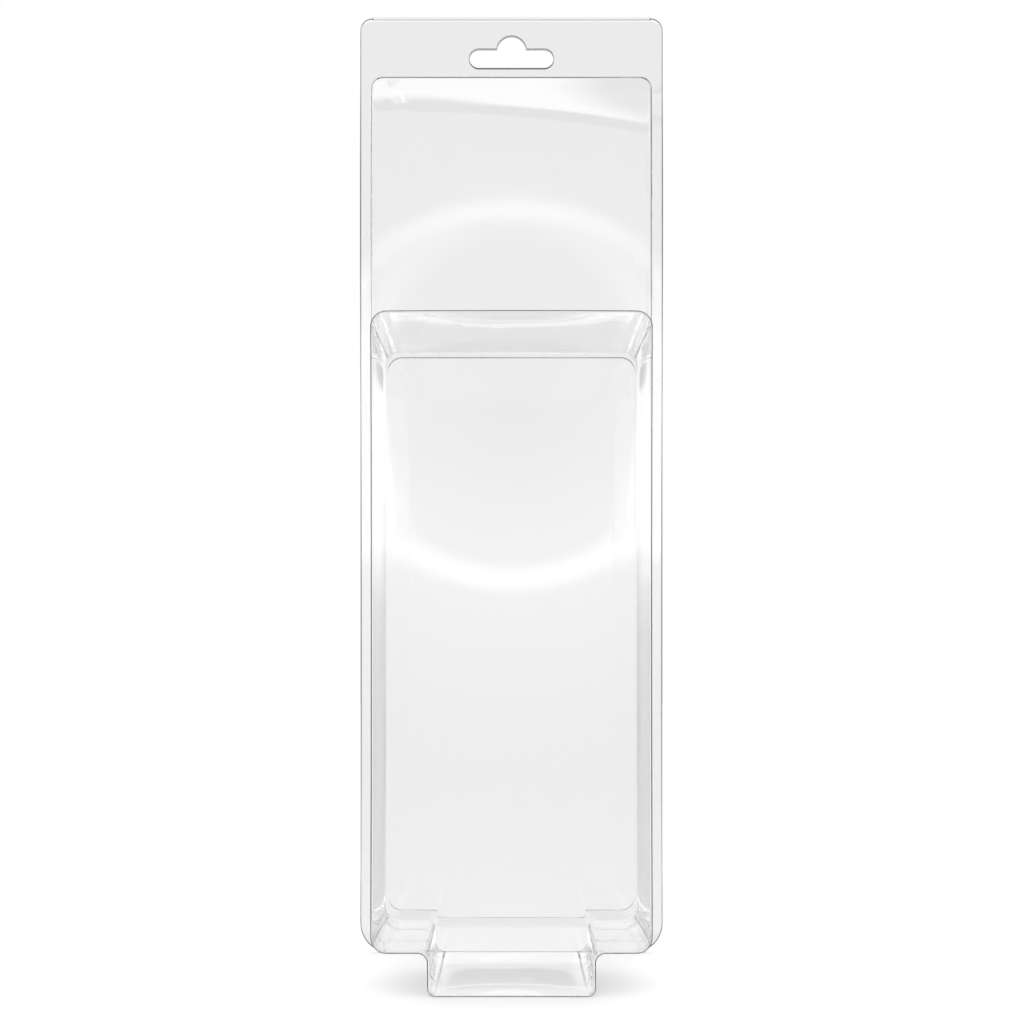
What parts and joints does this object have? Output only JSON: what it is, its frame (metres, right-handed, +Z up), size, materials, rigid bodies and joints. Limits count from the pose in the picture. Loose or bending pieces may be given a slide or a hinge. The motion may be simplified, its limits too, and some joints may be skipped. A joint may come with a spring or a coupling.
{
  "type": "blister protector case",
  "caption": "Clear formed-sheet display case with a deep bubble, a standing foot, a header with a hang hole, and a back half folded over along the top edge.",
  "frame": {"origin": "middle of the closed case's footprint, at the level it stands on", "axes": "+Z up along the case's height, -Y the way the bubble faces, +X across the case"},
  "size_m": [0.115, 0.0604, 0.356],
  "materials": {
    "clear_pet": "gloss"
  },
  "bodies": {
    "front": {"front_shell": "clear_pet"},
    "back": {"back_shell": "clear_pet"}
  },
  "joints": [
    {"name": "fold_hinge", "type": "hinge", "parent": "front", "child": "back", "pos_m": [0, 0.02975, 0.3555], "axis": [1, 0, 0], "range_deg": [0, 180]}
  ]
}
